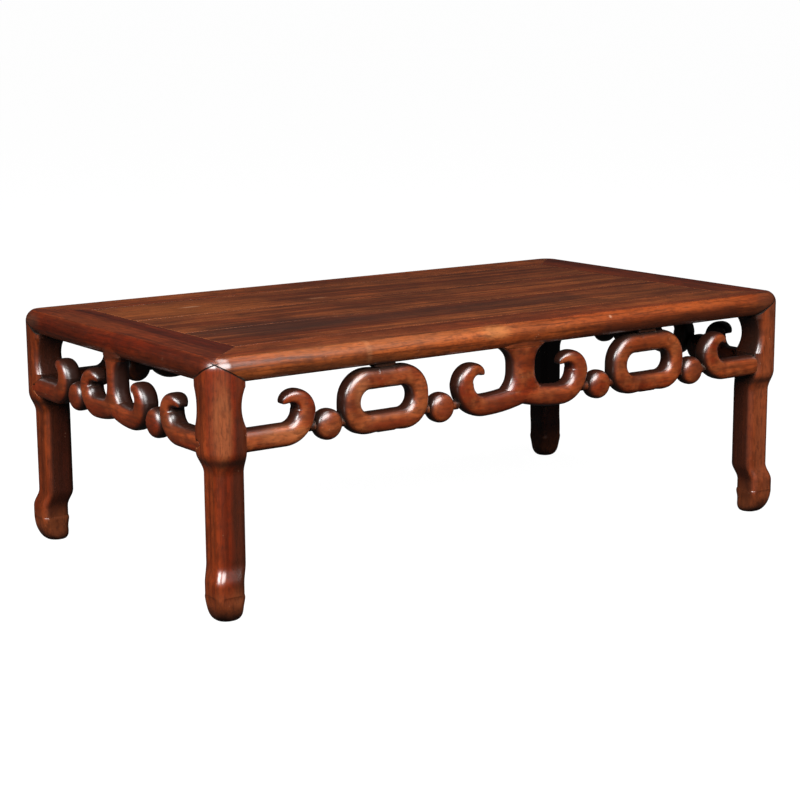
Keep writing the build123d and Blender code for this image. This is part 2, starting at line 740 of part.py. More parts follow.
# ---------------------------------------------------------------- panel and battens
def batten(x, grow=0.0):
    """Batten across the underside of the panel, with a dovetail let into the boards."""
    z_low = table_height - board_thickness - batten_height
    z_high = table_height - board_thickness
    half = batten_width / 2
    neck = half - batten_dovetail_flare
    bevel = batten_bevel
    points = [(x - half + bevel, z_low), (x + half - bevel, z_low), (x + half, z_low + bevel),
              (x + half, z_high), (x + neck + grow, z_high),
              (x + half + grow, z_high + batten_dovetail_depth + grow),
              (x - half - grow, z_high + batten_dovetail_depth + grow), (x - neck - grow, z_high),
              (x - half, z_high), (x - half, z_low + bevel)]
    reach = opening_depth / 2 - fit_gap
    return prism(points, Plane.XZ, -reach, reach)


def board(index):
    """One board of the floating panel, tongued into the frame and into the next board."""
    width = opening_depth / board_count
    y_low = -opening_depth / 2 + width * index
    y_high = y_low + width
    z_low = table_height - board_thickness
    first, last = index == 0, index == board_count - 1
    half = opening_length / 2
    face_low = y_low + board_gap
    face_high = y_high - (board_gap if last else 0)
    face_length = opening_length - 2 * board_gap
    eased = table_height - eased_arris
    shape = block(-face_length / 2, face_length / 2, face_low, face_high, z_low, eased)
    face = Pos(0, (face_low + face_high) / 2, eased) * Rectangle(face_length, face_high - face_low)
    shape += extrude(face, amount=eased_arris, taper=45)
    front = y_low - tongue_length if first else y_low + board_gap
    back = y_high + tongue_length if last else y_high
    shape += block(-half - tongue_length, half + tongue_length, front, back,
                   tongue_top - tongue_thickness, tongue_top)
    spline_half = half - board_spline_inset
    spline_z = z_low + board_thickness / 2 - board_spline_height / 2
    if not last:
        shape += block(-spline_half, spline_half, y_high - lap, y_high + board_spline_length,
                       spline_z, spline_z + board_spline_height)
    if not first:
        shape -= block(-spline_half - fit_gap, spline_half + fit_gap,
                       y_low - lap, y_low + board_spline_length + board_gap,
                       spline_z - fit_gap, spline_z + board_spline_height + fit_gap)
    for x in batten_places():
        shape -= batten(x, fit_gap)
    return shape


for index, name in enumerate(["front", "middle", "back"]):
    nodes["panel_board_" + name] = board(index)
for x, name in zip(batten_places(), ["left", "centre", "right"]):
    nodes["dovetail_batten_" + name] = batten(x) + batten_tenon(x) + mirrored_y(batten_tenon(x))

# ---------------------------------------------------------------- one file for each piece
os.makedirs("parts", exist_ok=True)
for name, piece in nodes.items():
    piece.label = name
    export_step(piece, "parts/" + name + ".step")
print(len(nodes), "pieces")
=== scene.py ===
"""Dresses and lights a kang table: a low hardwood table with openwork aprons."""

import functools
import logging
import math
from dataclasses import dataclass, field, replace
from enum import Enum

import bmesh
import bpy
from mathutils import Matrix, Vector

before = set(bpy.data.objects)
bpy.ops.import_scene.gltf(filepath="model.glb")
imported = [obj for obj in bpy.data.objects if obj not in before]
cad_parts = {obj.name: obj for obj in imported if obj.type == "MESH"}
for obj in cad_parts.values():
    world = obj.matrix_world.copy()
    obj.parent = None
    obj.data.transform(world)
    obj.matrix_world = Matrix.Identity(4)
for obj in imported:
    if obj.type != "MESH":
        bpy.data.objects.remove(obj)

LOG = logging.getLogger("kang_table")
Colour = tuple[float, float, float]
Triple = tuple[float, float, float]
UNSCALED: Triple = (1.0, 1.0, 1.0)
UNMOVED: Triple = (0.0, 0.0, 0.0)
VECTOR = "NodeSocketVector"

# The Mix node has one socket of each name for every kind of data, so the colour ones go by place.
MIX_SHARE, MIX_UNDER, MIX_OVER, MIX_RESULT = 0, 6, 7, 2


def opaque(colour: Colour) -> tuple[float, float, float, float]:
    """The colour with full alpha, as a colour socket takes it."""
    return (*colour, 1.0)


def bearing(azimuth: float, elevation: float) -> Vector:
    """The direction from the table to a light or a camera.

    Args:
        azimuth: turn to the right from straight in front, in degrees.
        elevation: angle over the floor, in degrees.

    Returns:
        The direction, with a length of 1.
    """
    turn, rise = math.radians(azimuth), math.radians(elevation)
    return Vector((math.sin(turn) * math.cos(rise), -math.cos(turn) * math.cos(rise), math.sin(rise)))


class Grain(Enum):
    """Direction of the fibres in a piece of timber, as the turn that lays them along X."""

    ALONG_X = (0.0, 0.0, 0.0)
    ALONG_Y = (0.0, 0.0, -math.pi / 2)
    ALONG_Z = (0.0, math.pi / 2, 0.0)


@dataclass(frozen=True)
class Ease:
    """A smooth step: the source values where it starts and ends, and its results there."""

    low: object
    high: object
    start: float = 0.0
    end: float = 1.0


@dataclass(frozen=True)
class Cloud:
    """A cloudy pattern: features to a metre, finer layers and their strength, swirl and stretch."""

    scale: object = 1.0
    detail: float = 2.0
    roughness: float = 0.5
    swirl: float = 0.0
    stretch: Triple = UNSCALED
    shift: Triple = UNMOVED
    ease: Ease | None = None


@dataclass
class Wiring:
    """Adds shader nodes to one tree and links them."""

    tree: bpy.types.NodeTree

    def feed(self, node: bpy.types.Node, sources: dict) -> None:
        """Links inputs of a node to other sockets, or sets them to plain values.

        Args:
            node: the node.
            sources: output sockets or values, by the input's name or place.
        """
        for key, source in sources.items():
            if isinstance(source, bpy.types.NodeSocket):
                self.tree.links.new(source, node.inputs[key])
            else:
                node.inputs[key].default_value = source

    def add(self, kind: str, inputs: dict | None = None, **settings: object) -> bpy.types.Node:
        """Adds a node.

        Args:
            kind: the node's type name.
            inputs: sources for its inputs, by name or place.
            settings: properties of the node, set before its inputs.

        Returns:
            The new node.
        """
        node = self.tree.nodes.new(kind)
        for name, value in settings.items():
            setattr(node, name, value)
        self.feed(node, inputs or {})
        return node

    def maths(self, operation: str, *sources: object, clamp: bool = False) -> bpy.types.NodeSocket:
        """Works out one value from others.

        Args:
            operation: the Math node's operation.
            sources: one to three sources.
            clamp: whether the result stays between 0 and 1.

        Returns:
            The result's socket.
        """
        node = self.add("ShaderNodeMath", dict(enumerate(sources)), operation=operation, use_clamp=clamp)
        return node.outputs["Value"]

    def vectors(self, operation: str, *sources: object) -> bpy.types.Node:
        """Works out a vector or a value from one or two vectors.

        Args:
            operation: the Vector Math node's operation.
            sources: one or two vectors.

        Returns:
            The node, with the result in its Vector or Value output.
        """
        return self.add("ShaderNodeVectorMath", dict(enumerate(sources)), operation=operation)

    def likeness(self, first: object, second: object) -> bpy.types.NodeSocket:
        """How far two directions point the same way."""
        return self.vectors("DOT_PRODUCT", first, second).outputs["Value"]

    def ease(self, value: object, step: Ease) -> bpy.types.NodeSocket:
        """Eases a value from one range to another, and holds it at both ends.

        Args:
            value: the source.
            step: the ranges.

        Returns:
            The result's socket.
        """
        node = self.add("ShaderNodeMapRange",
                        {"Value": value, "From Min": step.low, "From Max": step.high,
                         "To Min": step.start, "To Max": step.end}, interpolation_type="SMOOTHSTEP")
        return node.outputs["Result"]

    def lay(self, share: object, under: object, over: object) -> bpy.types.NodeSocket:
        """Lays one colour over another.

        Args:
            share: how much of the upper colour shows.
            under: the lower colour.
            over: the upper colour.

        Returns:
            The resulting colour's socket.
        """
        node = self.add("ShaderNodeMix", data_type="RGBA", clamp_factor=True)
        self.feed(node, {MIX_SHARE: share, MIX_UNDER: under, MIX_OVER: over})
        return node.outputs[MIX_RESULT]

    def stretched(self, place: object, scale: Triple, shift: Triple = UNMOVED,
                  turn: Triple = UNMOVED) -> bpy.types.NodeSocket:
        """Scales, turns and shifts the place that a pattern is read at.

        Args:
            place: the source vector.
            scale: factor along each axis.
            shift: shift after the turn.
            turn: turn about each axis, in radians.

        Returns:
            The new vector's socket.
        """
        node = self.add("ShaderNodeMapping",
                        {"Vector": place, "Location": shift, "Rotation": turn, "Scale": scale})
        return node.outputs["Vector"]

    def cloud(self, place: object, cloud: Cloud) -> bpy.types.NodeSocket:
        """Reads a cloudy pattern, and eases it where the pattern says so.

        Args:
            place: where it is read.
            cloud: the pattern.

        Returns:
            The pattern's socket, between 0 and 1.
        """
        if (cloud.stretch, cloud.shift) != (UNSCALED, UNMOVED):
            place = self.stretched(place, cloud.stretch, cloud.shift)
        node = self.add("ShaderNodeTexNoise",
                        {"Vector": place, "Scale": cloud.scale, "Detail": cloud.detail,
                         "Roughness": cloud.roughness, "Distortion": cloud.swirl})
        read = node.outputs["Fac"]
        return read if cloud.ease is None else self.ease(read, cloud.ease)


def emptied(block: bpy.types.Material | bpy.types.World) -> Wiring:
    """Clears the nodes of a material or a world, ready for its own.

    Args:
        block: the material or the world.

    Returns:
        The wiring of its tree.
    """
    block.use_nodes = True
    block.node_tree.nodes.clear()
    return Wiring(block.node_tree)


# The figure of a board with its fibres along X, and how far each part stands out.
SWAY = Cloud(stretch=(3.2, 9.0, 9.0))
BANDS = Cloud(detail=3.0, roughness=0.6, swirl=0.25, stretch=(0.06, 1.0, 0.8), ease=Ease(0.38, 0.62))
STREAKS = Cloud(detail=3.0, roughness=0.62, stretch=(5.0, 170.0, 140.0), ease=Ease(0.42, 0.62))
LINES = Cloud(roughness=0.6, stretch=(9.0, 430.0, 380.0), ease=Ease(0.52, 0.66))
FIBRES = Cloud(roughness=0.6, stretch=(26.0, 760.0, 640.0))
FLECKS = Cloud(detail=4.0, roughness=0.7, swirl=0.3, stretch=(75.0, 290.0, 240.0),
               ease=Ease(0.46, 0.64))
PORES = Cloud(detail=1.0, roughness=0.4, stretch=(80.0, 1250.0, 1100.0), ease=Ease(0.58, 0.70))
FIBRE_RELIEF, STREAK_RELIEF, PORE_RELIEF = 0.35, 0.4, 0.6

# Wear on the arrises: how far the rounded normal turns away, and where hands have rubbed.
ARRIS_BEND = Ease(0.997, 0.88)
RUBBED_PATCHES = Cloud(75.0, 3.0, 0.6, ease=Ease(0.34, 0.62))
BEVEL_SAMPLES = 4

# Old dark wax with painted shade in corners, dust along the seams and painted shade deep in recesses:
# how closed in a spot must be, and how the dirt is spread.
HIDDEN = Ease(0.82, 0.35)
JOINED = Ease(0.85, 0.5)
RECESS_SHADE_STEP = Ease(0.85, 0.35)
THICK_GRIME = Cloud(120.0, 3.0, 0.6, ease=Ease(0.25, 0.65, 0.45, 1.0))
BROKEN_DUST = Cloud(34.0, 4.0, 0.65, ease=Ease(0.48, 0.62))
GRIME_SAMPLES, SEAM_SAMPLES = 8, 6

# Patina of the wax.
WAX_TONE = Cloud(11.0, 3.0, 0.55, 0.4, ease=Ease(0.3, 0.7))
WAX_MOTTLE = Cloud(55.0, 5.0, 0.65, 0.5, shift=(0.3, 0.7, 0.1), ease=Ease(0.42, 0.68))
WAX_HAZE = Cloud(38.0, 4.0, 0.65, ease=Ease(0.35, 0.75))
WAX_SWELL = Cloud(42.0, 1.0, 0.4)
SPECKLED_AREAS = Cloud(60.0, 2.0, 0.5, ease=Ease(0.6, 0.72))
SPECKS_TO_A_METRE = 210.0
SPECK_DOT = Ease(0.16, 0.05)

# Painted light on the outward faces of a member, painted shade on its flanks and on its inner sides,
# which look towards the centre.
LIT_FACE_CLOUD = Cloud(30.0, 4.0, 0.6, 0.3, ease=Ease(0.36, 0.66))
FACING_OUT, FACING_ALONG, FACING_IN = Ease(0.6, 0.98), Ease(0.94, 0.45), Ease(0.12, 0.62)
TOWARDS_CENTRE: Triple = (-0.71, -0.71, 0.0)

# Mitre seams: the share of the half width that is fully dark, and the overrun at both ends.
MITRE_CORE = 0.4
MITRE_OVERRUN = 0.03

# Borders of the tone patches.
TONE_PATCH_CLOUD = Cloud(16.0, 4.0, 0.6)
TONE_PATCH_RAGGEDNESS = 0.9
TONE_PATCH_BORDER = Ease(1.1, 0.35)


@dataclass(frozen=True)
class Port:
    """A named input or output of a shared effect."""

    name: str
    kind: str = "NodeSocketFloat"
    value: object = None


PLACE = Port("Place", VECTOR)


class Effects:
    """Shared surface effects as shader node groups, each made once."""

    @staticmethod
    def start(name: str, takes: list[Port], gives: list[Port]
              ) -> tuple[Wiring, bpy.types.Node, bpy.types.Node]:
        """Opens an empty group with its ports.

        Args:
            name: the group's name.
            takes: its inputs.
            gives: its outputs.

        Returns:
            The wiring of its tree, its input node and its output node.
        """
        tree = bpy.data.node_groups.new(name, "ShaderNodeTree")
        for port in takes:
            socket = tree.interface.new_socket(name=port.name, in_out="INPUT", socket_type=port.kind)
            if port.value is not None:
                socket.default_value = port.value
        for port in gives:
            tree.interface.new_socket(name=port.name, in_out="OUTPUT", socket_type=port.kind)
        wiring = Wiring(tree)
        return wiring, wiring.add("NodeGroupInput"), wiring.add("NodeGroupOutput")

    @staticmethod
    @functools.cache
    def timber_figure() -> bpy.types.NodeTree:
        """Bands, fibres and pores of straight-grained hardwood, with the fibres along X.

        Returns:
            The node group.
        """
        wiring, takes, gives = Effects.start(
            "timber_figure",
            [PLACE, Port("Band Count", value=26.0), Port("Waviness", value=0.012)],
            [Port("Bands"), Port("Streaks"), Port("Lines"), Port("Flecks"), Port("Pores"),
             Port("Height")])
        place = takes.outputs["Place"]
        sway = wiring.maths("SUBTRACT", wiring.cloud(place, SWAY), 0.5)
        sway = wiring.maths("MULTIPLY", sway, takes.outputs["Waviness"])
        lean = wiring.add("ShaderNodeCombineXYZ", {"Y": sway, "Z": sway})
        swayed = wiring.vectors("ADD", place, lean.outputs["Vector"]).outputs["Vector"]
        streaks, pores = wiring.cloud(swayed, STREAKS), wiring.cloud(swayed, PORES)
        raised = wiring.maths("MULTIPLY_ADD", wiring.cloud(swayed, FIBRES), FIBRE_RELIEF,
                              wiring.maths("MULTIPLY", streaks, STREAK_RELIEF))
        height = wiring.maths("SUBTRACT", raised, wiring.maths("MULTIPLY", pores, PORE_RELIEF))
        bands = wiring.cloud(swayed, replace(BANDS, scale=takes.outputs["Band Count"]))
        wiring.feed(gives, {"Bands": bands, "Streaks": streaks, "Lines": wiring.cloud(swayed, LINES),
                            "Flecks": wiring.cloud(swayed, FLECKS), "Pores": pores, "Height": height})
        return wiring.tree

    @staticmethod
    @functools.cache
    def worn_arris() -> bpy.types.NodeTree:
        """Finds convex arrises, where handling has rubbed the finish, and rounds their normals.

        Returns:
            The node group.
        """
        wiring, takes, gives = Effects.start(
            "worn_arris", [PLACE, Port("Reach", value=0.0016)], [Port("Wear"), Port("Normal", VECTOR)])
        rounded = wiring.add("ShaderNodeBevel", {"Radius": takes.outputs["Reach"]},
                             samples=BEVEL_SAMPLES).outputs["Normal"]
        shape = wiring.add("ShaderNodeNewGeometry")
        bend = wiring.ease(wiring.likeness(rounded, shape.outputs["Normal"]), ARRIS_BEND)
        rubbed = wiring.cloud(takes.outputs["Place"], RUBBED_PATCHES)
        wiring.feed(gives, {"Wear": wiring.maths("MULTIPLY", bend, rubbed), "Normal": rounded})
        return wiring.tree

    @staticmethod
    @functools.cache
    def crevice_grime_and_shade() -> bpy.types.NodeTree:
        """Old dark wax and painted shade where pieces meet, pale dust along their seams, and painted
        shade deep in recesses.

        Returns:
            The node group.
        """
        wiring, takes, gives = Effects.start(
            "crevice_grime_and_shade",
            [PLACE, Port("Depth", value=0.016), Port("Seam", value=0.003), Port("Reach", value=0.07)],
            [Port("Grime And Shade"), Port("Dust"), Port("Seam Dirt"), Port("Recess Shade")])
        hidden, joint, recess_shade = (
            wiring.ease(wiring.add("ShaderNodeAmbientOcclusion", {"Distance": takes.outputs[reach]},
                                   samples=samples).outputs["AO"], step)
            for reach, samples, step in (("Depth", GRIME_SAMPLES, HIDDEN),
                                         ("Seam", SEAM_SAMPLES, JOINED),
                                         ("Reach", SEAM_SAMPLES, RECESS_SHADE_STEP)))
        thick = wiring.cloud(takes.outputs["Place"], THICK_GRIME)
        broken = wiring.cloud(takes.outputs["Place"], BROKEN_DUST)
        wiring.feed(gives, {"Grime And Shade": wiring.maths("MULTIPLY", hidden, thick),
                            "Dust": wiring.maths("MULTIPLY", joint, broken),
                            "Seam Dirt": joint, "Recess Shade": recess_shade})
        return wiring.tree

    @staticmethod
    @functools.cache
    def handled_wax() -> bpy.types.NodeTree:
        """Patina of an old waxed surface: cloudy tone, small pale specks and rubbed patches.

        Returns:
            The node group.
        """
        wiring, takes, gives = Effects.start(
            "handled_wax", [PLACE],
            [Port("Tone"), Port("Mottle"), Port("Specks"), Port("Haze"), Port("Swell")])
        place = takes.outputs["Place"]
        grains = wiring.add("ShaderNodeTexVoronoi", {"Vector": place, "Scale": SPECKS_TO_A_METRE})
        dots = wiring.ease(grains.outputs["Distance"], SPECK_DOT)
        specks = wiring.maths("MULTIPLY", dots, wiring.cloud(place, SPECKLED_AREAS))
        clouds = {"Tone": WAX_TONE, "Mottle": WAX_MOTTLE, "Haze": WAX_HAZE, "Swell": WAX_SWELL}
        wiring.feed(gives, {name: wiring.cloud(place, cloud) for name, cloud in clouds.items()})
        wiring.feed(gives, {"Specks": specks})
        return wiring.tree

    @staticmethod
    @functools.cache
    def lit_face_and_shaded_flanks() -> bpy.types.NodeTree:
        """Splits a member into painted light on its sides that look outward, painted shade on its
        flanks, and painted shade on its sides that look towards the centre.

        Returns:
            The node group.
        """
        wiring, takes, gives = Effects.start(
            "lit_face_and_shaded_flanks", [PLACE, Port("Outward", VECTOR)],
            [Port("Lit Face"), Port("Flank Shade"), Port("Inner Shade")])
        normal = wiring.add("ShaderNodeNewGeometry").outputs["Normal"]
        corner = wiring.vectors("SIGN", takes.outputs["Place"]).outputs["Vector"]
        inward = wiring.vectors("MULTIPLY", corner, TOWARDS_CENTRE).outputs["Vector"]
        facing = wiring.maths("ABSOLUTE", wiring.likeness(normal, takes.outputs["Outward"]))
        cloud = wiring.cloud(takes.outputs["Place"], LIT_FACE_CLOUD)
        wiring.feed(gives, {"Lit Face": wiring.maths("MULTIPLY", wiring.ease(facing, FACING_OUT), cloud),
                            "Flank Shade": wiring.ease(facing, FACING_ALONG),
                            "Inner Shade": wiring.ease(wiring.likeness(normal, inward), FACING_IN)})
        return wiring.tree

    @staticmethod
    @functools.cache
    def mitre_seam() -> bpy.types.NodeTree:
        """Lines where the sloped head of a leg meets the two rails over it, alike at every corner.

        Returns:
            The node group.
        """
        wiring, takes, gives = Effects.start(
            "mitre_seam",
            [PLACE, Port("Foot", VECTOR), Port("Peak", VECTOR), Port("Half Width", value=0.0015)],
            [Port("Seam")])
        mirrored = wiring.vectors("ABSOLUTE", takes.outputs["Place"]).outputs["Vector"]
        here, foot, peak = (
            wiring.add("ShaderNodeSeparateXYZ", {"Vector": source}).outputs
            for source in (mirrored, takes.outputs["Foot"], takes.outputs["Peak"]))
        rise = wiring.maths("SUBTRACT", peak["Z"], foot["Z"])
        height = wiring.maths("SUBTRACT", here["Z"], foot["Z"])
        border = Ease(takes.outputs["Half Width"],
                      wiring.maths("MULTIPLY", takes.outputs["Half Width"], MITRE_CORE))
        seams = []
        for along, across in ("XY", "YX"):
            share = wiring.maths("DIVIDE", wiring.maths("SUBTRACT", here[along], foot[along]),
                                 wiring.maths("SUBTRACT", peak[along], foot[along]))
            slope = wiring.maths("MULTIPLY", share, rise)
            away = wiring.maths("ABSOLUTE", wiring.maths("SUBTRACT", height, slope))
            within = wiring.maths("MULTIPLY", wiring.maths("GREATER_THAN", share, -MITRE_OVERRUN),
                                  wiring.maths("LESS_THAN", share, 1.0 + MITRE_OVERRUN))
            outside = wiring.maths("GREATER_THAN", here[across], foot[across])
            seams.append(wiring.maths("MULTIPLY", wiring.ease(away, border),
                                      wiring.maths("MULTIPLY", within, outside)))
        wiring.feed(gives, {"Seam": wiring.maths("MAXIMUM", *seams)})
        return wiring.tree

    @staticmethod
    @functools.cache
    def soft_tone_patch() -> bpy.types.NodeTree:
        """One broad patch with a soft, cloudy border.

        Returns:
            The node group.
        """
        wiring, takes, gives = Effects.start(
            "soft_tone_patch", [PLACE, Port("Centre", VECTOR), Port("Half Size", VECTOR)], [Port("TonePatch")])
        away = wiring.vectors("SUBTRACT", takes.outputs["Place"], takes.outputs["Centre"])
        share = wiring.vectors("DIVIDE", away.outputs["Vector"], takes.outputs["Half Size"])
        distance = wiring.vectors("LENGTH", share.outputs["Vector"]).outputs["Value"]
        ragged = wiring.maths("SUBTRACT", wiring.cloud(takes.outputs["Place"], TONE_PATCH_CLOUD), 0.5)
        ragged = wiring.maths("MULTIPLY", ragged, TONE_PATCH_RAGGEDNESS)
        reach = wiring.maths("ADD", distance, ragged)
        wiring.feed(gives, {"TonePatch": wiring.ease(reach, TONE_PATCH_BORDER)})
        return wiring.tree


@dataclass(frozen=True)
class TonePatch:
    """A broad patch of another tone on a piece; some are the wood's own tone, some painted light and
    some painted shade.
    """

    centre: Triple
    half_size: Triple
    colour: Colour
    share: float

    def mask(self, wiring: Wiring, place: bpy.types.NodeSocket) -> bpy.types.NodeSocket:
        """Places the stain in a material.

        Args:
            wiring: the material's wiring.
            place: object coordinates.

        Returns:
            The socket that says where the stain lies.
        """
        sources = {"Place": place, "Centre": self.centre, "Half Size": self.half_size}
        return wiring.add("ShaderNodeGroup", sources, node_tree=Effects.soft_tone_patch()).outputs["TonePatch"]


@dataclass(frozen=True)
class WoodFinish:
    """Waxed hardwood: its colours, figure, wear and gloss."""

    name: str
    dark: Colour
    body: Colour
    light: Colour
    # Old dark wax and painted shade in corners; also the colour of pores, seams, mitres and the painted
    # shade round ball necks.
    grime_and_shade: Colour = (0.007, 0.004, 0.003)
    # Painted shade deep in recesses.
    recess_shade: Colour = (0.014, 0.004, 0.002)
    rubbed: Colour = (0.22, 0.07, 0.025)
    speck: Colour = (0.36, 0.22, 0.14)
    dust: Colour = (0.26, 0.19, 0.15)
    # Painted light on the sides of a member that look outward.
    lit_face: Colour = (0.26, 0.072, 0.020)
    # Painted shade on the flanks of a member and on its sides that look towards the centre.
    flank_shade: Colour = (0.014, 0.004, 0.002)
    band_count: float = 26.0
    waviness: float = 0.012
    log_drift: Triple = (1.0, 1.7, 0.6)
    wax_drift: Triple = (1.0, -1.0, 1.0)
    outward: Triple = (0.0, 1.0, 0.0)
    mitre_foot: Triple = (0.403, 0.203, 0.279)
    mitre_peak: Triple = (0.4415, 0.2425, 0.3015)
    band_share: float = 0.75
    streak_share: float = 0.5
    tone_share: float = 0.5
    mottle_share: float = 0.35
    # Shares of painted light on outward sides, and of painted shade on flanks and inner sides.
    lit_face_share: float = 0.0
    flank_shade_share: float = 0.0
    inner_shade_share: float = 0.8
    line_share: float = 0.55
    fleck_share: float = 0.45
    pore_share: float = 0.35
    wear_share: float = 0.6
    # Share of painted shade deep in recesses.
    recess_shade_share: float = 0.8
    # Share of old dark wax and painted shade in corners.
    grime_and_shade_share: float = 0.85
    seam_share: float = 0.8
    mitre_share: float = 0.0
    dust_share: float = 0.35
    speck_share: float = 0.5
    roughness: float = 0.40
    rough_spread: float = 0.14
    grime_roughness: float = 0.3
    seam_roughness: float = 0.4
    sheen: float = 0.1
    wood_ior: float = 1.48
    wax: float = 1.0
    wax_roughness: float = 0.26
    wax_ior: float = 1.6
    wax_under_grime: Ease = Ease(0.0, 0.7, 1.0, 0.1)
    wax_in_seams: Ease = Ease(0.0, 0.5, 1.0, 0.05)
    wax_in_mitres: Ease = Ease(0.0, 1.0, 1.0, 0.1)
    bump: float = 0.00008
    swell_relief: float = 1.6
    tone_patches: tuple[TonePatch, ...] = ()

    def marks(self, wiring: Wiring, place: bpy.types.NodeSocket, grain: Grain, shift: float
              ) -> dict[str, bpy.types.NodeSocket]:
        """Adds the shared effects to a material.

        Args:
            wiring: the material's wiring.
            place: object coordinates.
            grain: direction of the fibres.
            shift: how far into the log the piece was cut, in metres.

        Returns:
            The outputs of the effects, by name.
        """
        log_place, wax_place = (
            wiring.stretched(place, UNSCALED, tuple(shift * part for part in drift), turn)
            for drift, turn in ((self.log_drift, grain.value), (self.wax_drift, UNMOVED)))
        marks = {}
        for group, sources in (
                (Effects.timber_figure(), {"Place": log_place, "Band Count": self.band_count,
                                           "Waviness": self.waviness}),
                (Effects.worn_arris(), {"Place": place}),
                (Effects.crevice_grime_and_shade(), {"Place": place}),
                (Effects.handled_wax(), {"Place": wax_place}),
                (Effects.lit_face_and_shaded_flanks(), {"Place": place, "Outward": self.outward}),
                (Effects.mitre_seam(), {"Place": place, "Foot": self.mitre_foot,
                                        "Peak": self.mitre_peak})):
            node = wiring.add("ShaderNodeGroup", sources, node_tree=group)
            marks.update((output.name, output) for output in node.outputs)
        marks["Mitre"] = wiring.maths("MULTIPLY", marks["Seam"], self.mitre_share)
        return marks

    def colour(self, wiring: Wiring, place: bpy.types.NodeSocket,
               marks: dict[str, bpy.types.NodeSocket]) -> bpy.types.NodeSocket:
        """Lays the figure, the painted light and painted shade, the tone patches and the dirt, with
        painted shade in corners and recesses, over the body colour, from the wood outwards.

        Args:
            wiring: the material's wiring.
            place: object coordinates.
            marks: the outputs of the effects.

        Returns:
            The colour's socket.
        """
        colour = opaque(self.body)
        for mask, share, over in (
                (marks["Bands"], self.band_share, self.light),
                (marks["Streaks"], self.streak_share, self.dark),
                (marks["Tone"], self.tone_share, self.dark),
                (marks["Mottle"], self.mottle_share, self.dark),
                # Painted light on outward sides, painted shade on flanks and inner sides.
                (marks["Lit Face"], self.lit_face_share, self.lit_face),
                (marks["Flank Shade"], self.flank_shade_share, self.flank_shade),
                (marks["Inner Shade"], self.inner_shade_share, self.flank_shade),
                *((tone_patch.mask(wiring, place), tone_patch.share, tone_patch.colour) for tone_patch in self.tone_patches),
                (marks["Lines"], self.line_share, self.dark),
                (marks["Flecks"], self.fleck_share, self.dark),
                (marks["Pores"], self.pore_share, self.grime_and_shade),
                (marks["Wear"], self.wear_share, self.rubbed),
                # Painted shade deep in recesses.
                (marks["Recess Shade"], self.recess_shade_share, self.recess_shade),
                # Old dark wax and painted shade in corners.
                (marks["Grime And Shade"], self.grime_and_shade_share, self.grime_and_shade),
                (marks["Seam Dirt"], self.seam_share, self.grime_and_shade),
                (marks["Seam"], self.mitre_share, self.grime_and_shade),
                (marks["Dust"], self.dust_share, self.dust),
                (marks["Specks"], self.speck_share, self.speck)):
            colour = wiring.lay(wiring.maths("MULTIPLY", mask, share), colour, opaque(over))
        return colour

    def dullness(self, wiring: Wiring, marks: dict[str, bpy.types.NodeSocket]) -> bpy.types.NodeSocket:
        """Roughness of the wood: hazy all over, and rougher under dirt.

        Args:
            wiring: the material's wiring.
            marks: the outputs of the effects.

        Returns:
            The roughness's socket.
        """
        rough = wiring.maths("MULTIPLY_ADD", marks["Haze"], self.rough_spread,
                             self.roughness - self.rough_spread / 2)
        for mask, gain in (("Grime And Shade", self.grime_roughness), ("Seam Dirt", self.seam_roughness)):
            rough = wiring.maths("ADD", rough, wiring.maths("MULTIPLY", marks[mask], gain), clamp=True)
        return rough

    def gloss(self, wiring: Wiring, marks: dict[str, bpy.types.NodeSocket]) -> bpy.types.NodeSocket:
        """Weight of the wax coat, which is lost under dirt and along the seams.

        Args:
            wiring: the material's wiring.
            marks: the outputs of the effects.

        Returns:
            The weight's socket.
        """
        gloss = self.wax
        for mask, left in (("Grime And Shade", self.wax_under_grime), ("Seam Dirt", self.wax_in_seams),
                           ("Mitre", self.wax_in_mitres)):
            gloss = wiring.maths("MULTIPLY", wiring.ease(marks[mask], left), gloss)
        return gloss

    def material(self, piece: str, grain: Grain, shift: float) -> bpy.types.Material:
        """Builds the finish for one piece.

        Args:
            piece: name of the piece, for the material's name.
            grain: direction of the fibres.
            shift: how far into the log the piece was cut, in metres.

        Returns:
            The material.
        """
        material = bpy.data.materials.new(f"{self.name}_{piece}")
        wiring = emptied(material)
        place = wiring.add("ShaderNodeTexCoord").outputs["Object"]
        marks = self.marks(wiring, place, grain, shift)
        relief = wiring.maths("MULTIPLY_ADD", marks["Swell"], self.swell_relief, marks["Height"])
        bump = wiring.add("ShaderNodeBump", {"Height": relief, "Distance": self.bump, "Strength": 1.0,
                                             "Normal": marks["Normal"]})
        shader = wiring.add(
            "ShaderNodeBsdfPrincipled",
            {"Base Color": self.colour(wiring, place, marks), "Roughness": self.dullness(wiring, marks),
             "Normal": bump.outputs["Normal"], "Coat Weight": self.gloss(wiring, marks),
             "Coat Roughness": self.wax_roughness, "Coat IOR": self.wax_ior, "IOR": self.wood_ior,
             "Specular IOR Level": self.sheen})
        wiring.add("ShaderNodeOutputMaterial", {"Surface": shader.outputs["BSDF"]})
        return material


# Heights of the ledge on the legs and of the seats under the rails, and how far a ring is from
# the middle of its side, all in metres.
LEDGE_HEIGHT = 0.188
SEAT_HEIGHT = 0.2755
RING_PLACE = 0.2085
# Painted shade under the rails where the rings sit, and under the ledge of each leg.
SEAT_AND_LEDGE_SHADE: Colour = (0.010, 0.004, 0.002)
BARE_WOOD: Colour = (0.40, 0.24, 0.15)

